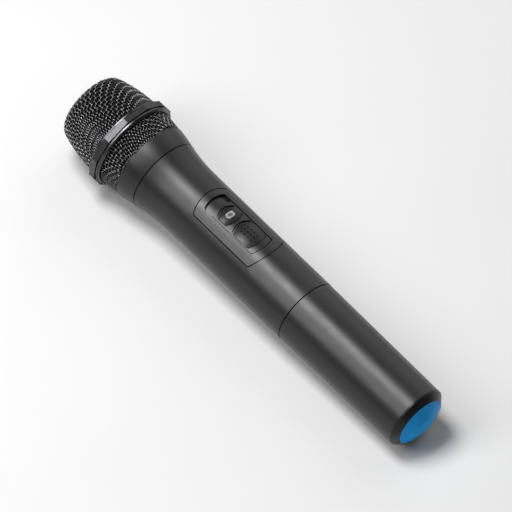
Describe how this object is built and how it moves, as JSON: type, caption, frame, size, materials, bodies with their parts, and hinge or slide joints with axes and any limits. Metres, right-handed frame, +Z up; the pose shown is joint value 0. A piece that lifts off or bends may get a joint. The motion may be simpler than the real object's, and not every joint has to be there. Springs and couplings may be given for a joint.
{
  "type": "karaoke microphone",
  "caption": "Handheld wireless karaoke microphone: woven wire grille, anti-roll ring, flared black handle with a sliding switch, screw-on battery cup and blue end cap.",
  "frame": {"origin": "middle of the footprint, on the surface that the ring's lowest flat rests on", "axes": "+X along the handle towards the grille, +Z up through the middle of the control panel, +Y to the left seen from the tail"},
  "size_m": [0.2512, 0.051, 0.051],
  "materials": {
    "satin_black_plastic": "satin moulded black plastic",
    "panel_black_plastic": "satin black moulded insert",
    "slider_black_plastic": "satin black slider",
    "lens_plastic": "milky clear window",
    "lever_plastic": "white nylon",
    "bezel_black_plastic": "smooth dark plastic",
    "blue_plastic": "smooth blue plastic",
    "gasket_rubber": "soft black rubber",
    "ring_metal": "black anodised, satin",
    "grille_wire": "black painted woven wire",
    "windscreen_foam": "open-cell black foam",
    "circuit_board": "green solder mask",
    "tinned_steel": "tinned sheet steel",
    "chip_epoxy": "black epoxy",
    "capacitor_can": "aluminium can",
    "led_epoxy": "tinted clear epoxy",
    "white_nylon": "white nylon connector",
    "wire_insulation": "soft insulation",
    "screw_steel": "zinc plated steel",
    "tray_plastic": "black moulded plastic",
    "cell_jacket": "printed film over a metal can",
    "spring_steel": "nickel plated spring steel",
    "carrier_plastic": "black moulded plastic",
    "capsule_can": "drawn aluminium",
    "magnet_alloy": "sintered magnet, plated",
    "yoke_steel": "plated mild steel",
    "coil_copper": "enamelled copper wire",
    "diaphragm_film": "thin clear film"
  },
  "bodies": {
    "handle": {"handle_body": "satin_black_plastic", "control_panel": "panel_black_plastic", "slide_switch_case": "tinned_steel", "main_circuit_board": "circuit_board", "pcb_screws": "screw_steel", "rf_shield_can": "tinned_steel", "circuit_chips": "chip_epoxy", "filter_capacitors": "capacitor_can", "crystal_can": "tinned_steel", "power_led": "led_epoxy", "capsule_plug": "white_nylon", "capsule_leads": "wire_insulation", "battery_leads": "wire_insulation", "antenna_wire": "wire_insulation", "battery_tray": "tray_plastic", "battery_cell_left": "cell_jacket", "battery_cell_right": "cell_jacket", "battery_springs": "spring_steel", "battery_link_plate": "spring_steel", "battery_contact_plates": "spring_steel", "capsule_carrier": "carrier_plastic", "carrier_screws": "screw_steel", "capsule_shock_ring": "gasket_rubber", "capsule_housing": "capsule_can", "capsule_yoke": "yoke_steel", "capsule_magnet": "magnet_alloy", "capsule_pole_plate": "yoke_steel", "diaphragm_clamp_ring": "carrier_plastic", "capsule_grid": "capsule_can"},
    "power_slider": {"slider_plate": "slider_black_plastic", "thumb_pad": "slider_black_plastic", "indicator_boss": "slider_black_plastic", "indicator_lens": "lens_plastic", "switch_lever": "lever_plastic"},
    "cup_seal": {"cup_gasket": "gasket_rubber"},
    "battery_cup_unit": {"battery_cup": "satin_black_plastic", "tail_bezel": "bezel_black_plastic", "end_cap": "blue_plastic"},
    "head_seal": {"head_gasket": "gasket_rubber"},
    "grille_head": {"grille_collar": "satin_black_plastic", "grille_lower_mesh": "grille_wire", "grille_ring": "ring_metal", "grille_dome_mesh": "grille_wire", "foam_liner": "windscreen_foam"},
    "moving_coil": {"diaphragm": "diaphragm_film", "voice_coil": "coil_copper"}
  },
  "joints": [
    {"name": "slider_travel", "type": "slide", "parent": "handle", "child": "power_slider", "axis": [1, 0, 0], "range_m": [0, 0.0044]},
    {"name": "cup_travel", "type": "slide", "parent": "handle", "child": "cup_seal", "axis": [-1, 0, 0], "range_m": [0, 0.0045]},
    {"name": "cup_turn", "type": "hinge", "parent": "cup_seal", "child": "battery_cup_unit", "pos_m": [-0.03765, 0, 0.0255], "axis": [-1, 0, 0], "range_deg": [0, 1080]},
    {"name": "head_travel", "type": "slide", "parent": "handle", "child": "head_seal", "axis": [1, 0, 0], "range_m": [0, 0.0045]},
    {"name": "head_turn", "type": "hinge", "parent": "head_seal", "child": "grille_head", "pos_m": [0.06765, 0, 0.0255], "axis": [1, 0, 0], "range_deg": [0, 1080]},
    {"name": "diaphragm_travel", "type": "slide", "parent": "handle", "child": "moving_coil", "axis": [1, 0, 0], "range_m": [-0.0003, 0.0003], "stiffness_N_per_m": 300}
  ],
  "couplings": [
    {"joint": "cup_turn", "follows": "cup_travel", "rad_per_m": 4188.8},
    {"joint": "head_turn", "follows": "head_travel", "rad_per_m": 4188.8}
  ]
}
